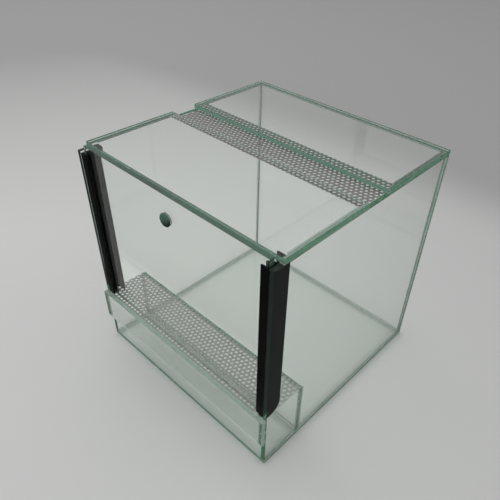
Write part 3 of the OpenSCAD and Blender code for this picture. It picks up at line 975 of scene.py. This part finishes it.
def seam_silicones(node):
    """Names of the silicones that a seam's fillets and its films are made of"""
    if "strip" in node:
        return "clear_silicone", "strip_joint_silicone"
    # The front top pane's right end gets a film with painted light
    if node == "front_top_right_seal":
        return "clear_silicone", "pale_joint_silicone"
    # Fillets under the top panes get painted shade: darker at the panes' ends, greyer along the back
    if "top" in node:
        at_an_end = "left" in node or "right" in node
        return "dark_silicone" if at_an_end else "shaded_silicone", "top_joint_silicone"
    # Fillets in the upright rear corners get the greyer painted shade
    return "shaded_silicone" if "rear" in node else "clear_silicone", "joint_silicone"


class TERRARIUM_OT_silicone_seams(bpy.types.Operator):
    """Draw every silicone seam by its films and fillets"""
    bl_idname = "terrarium.silicone_seams"
    bl_label = "Silicone seams"

    def execute(self, context):
        settings = context.scene.terrarium_silicone
        silicones = {
            name: silicone_material(name, getattr(settings, colour), cloudiness, ior)
            for name, (colour, cloudiness, ior) in SILICONES.items()}
        seed = FIRST_SEED
        for node, parts in seam_plan(settings.leg).items():
            bm = bmesh.new()
            for kind, *rest in parts:
                seed += SEED_STEP
                before = len(bm.faces)
                SEAM_PARTS[kind](bm, *rest, settings, seed)
                bm.faces.ensure_lookup_table()
                for face in bm.faces[before:]:
                    face.material_index = int(kind == "film")
            materials = [silicones[name] for name in seam_silicones(node)]
            tank_piece(closed_mesh(bm, node + "_bead", *materials), node)
        return {"FINISHED"}


def add_softbox(name, place, side, power):
    """A square studio lamp that points at the tank and doesn't show in the glass"""
    lamp = bpy.data.lights.new(name, "AREA")
    lamp.shape = "RECTANGLE"
    lamp.size = lamp.size_y = side
    lamp.energy = power
    holder = bpy.data.objects.new(name, lamp)
    bpy.context.scene.collection.objects.link(holder)
    holder.location = place
    holder.rotation_euler = (Vector(LAMP_AIM) - Vector(place)).to_track_quat("-Z", "Y").to_euler()
    holder.visible_glossy = False
    holder.visible_transmission = False


def add_table(scene, settings):
    """The pale floor, which isn't part of the object"""
    half = settings.floor_size / 2
    corners = (-half, -half), (half, -half), (half, half), (-half, half)
    bm = bmesh.new()
    bm.faces.new([bm.verts.new((x, y, -HAIR_GAP)) for x, y in corners])
    mesh = bpy.data.meshes.new("table_top")
    bm.to_mesh(mesh)
    bm.free()
    mesh.materials.append(floor_material(settings))
    floor = bpy.data.objects.new("table_top", mesh)
    scene.collection.objects.link(floor)


def add_room(scene):
    """A plain pale room that is darker where it shows in or through the glass"""
    world = bpy.data.worlds.new("soft_room")
    scene.world = world
    world.use_nodes = True
    w = NodeWriter(world.node_tree)
    path = w.node("ShaderNodeLightPath").outputs
    seen = w.math("MAXIMUM", path["Is Glossy Ray"], path["Is Transmission Ray"])
    strength = w.range(seen, 0.0, 1.0, ROOM_LIGHT, ROOM_SEEN_IN_GLASS)
    sky = w.tree.nodes["Background"]
    sky.inputs["Color"].default_value = ROOM_COLOUR
    w.tree.links.new(strength, sky.inputs["Strength"])


def add_camera(scene, settings):
    """The camera that took the photograph"""
    camera = bpy.data.objects.new("photo_camera", bpy.data.cameras.new("photo_camera"))
    scene.collection.objects.link(camera)
    camera.data.sensor_width = SENSOR_WIDTH
    camera.data.lens = settings.lens
    camera.data.shift_x, camera.data.shift_y = settings.shift
    camera.data.clip_start = 0.01
    place, aim = Vector(settings.camera_place), Vector(settings.camera_aim)
    look = (aim - place).to_track_quat("-Z", "Y").to_matrix().to_4x4()
    roll = Matrix.Rotation(settings.camera_roll, 4, "Z")
    camera.matrix_world = Matrix.Translation(place) @ look @ roll
    scene.camera = camera


class TERRARIUM_OT_studio(bpy.types.Operator):
    """Set the pale floor, the soft lamps and the photograph's camera"""
    bl_idname = "terrarium.studio"
    bl_label = "Studio"

    def execute(self, context):
        scene, settings = context.scene, context.scene.terrarium_stage
        add_table(scene, settings)
        add_room(scene)
        for name, softbox in SOFTBOXES.items():
            add_softbox(name, *softbox)
        add_camera(scene, settings)
        scene.view_settings.view_transform = "Standard"
        for name, value in LIGHT_PATHS.items():
            setattr(scene.cycles, name, value)
        return {"FINISHED"}


class TERRARIUM_PT_sidebar(bpy.types.Panel):
    """Lists the terrarium's steps and settings"""
    bl_idname = "TERRARIUM_PT_sidebar"
    bl_label = "Terrarium"
    bl_space_type = "VIEW_3D"
    bl_region_type = "UI"
    bl_category = "Terrarium"

    def draw(self, context):
        layout = self.layout
        for operator in OPERATORS:
            layout.operator(operator.bl_idname)
        for name, group in SETTINGS.items():
            box = layout.box()
            owner = getattr(context.scene, name)
            for label in group.__annotations__:
                box.prop(owner, label)


SETTINGS = {
    "terrarium_glass": GlassSettings,
    "terrarium_rail": RailSettings,
    "terrarium_strip": StripSettings,
    "terrarium_silicone": SiliconeSettings,
    "terrarium_stage": StageSettings,
}
OPERATORS = (
    TERRARIUM_OT_studio,
    TERRARIUM_OT_fixed_panes,
    TERRARIUM_OT_door_pane,
    TERRARIUM_OT_port_plug,
    TERRARIUM_OT_door_rails,
    TERRARIUM_OT_rail_bonds,
    TERRARIUM_OT_vent_strips,
    TERRARIUM_OT_silicone_seams,
)


def register():
    for group in SETTINGS.values():
        bpy.utils.register_class(group)
    for operator in OPERATORS:
        bpy.utils.register_class(operator)
    bpy.utils.register_class(TERRARIUM_PT_sidebar)
    for name, group in SETTINGS.items():
        setattr(bpy.types.Scene, name, PointerProperty(type=group))


def unregister():
    for name in SETTINGS:
        delattr(bpy.types.Scene, name)
    bpy.utils.unregister_class(TERRARIUM_PT_sidebar)
    for operator in reversed(OPERATORS):
        bpy.utils.unregister_class(operator)
    for group in SETTINGS.values():
        bpy.utils.unregister_class(group)


def main():
    register()
    bpy.ops.terrarium.studio()
    bpy.ops.terrarium.fixed_panes()
    bpy.ops.terrarium.door_pane()
    bpy.ops.terrarium.port_plug()
    bpy.ops.terrarium.door_rails()
    bpy.ops.terrarium.rail_bonds()
    bpy.ops.terrarium.vent_strips()
    bpy.ops.terrarium.silicone_seams()


if __name__ == "__main__":
    main()
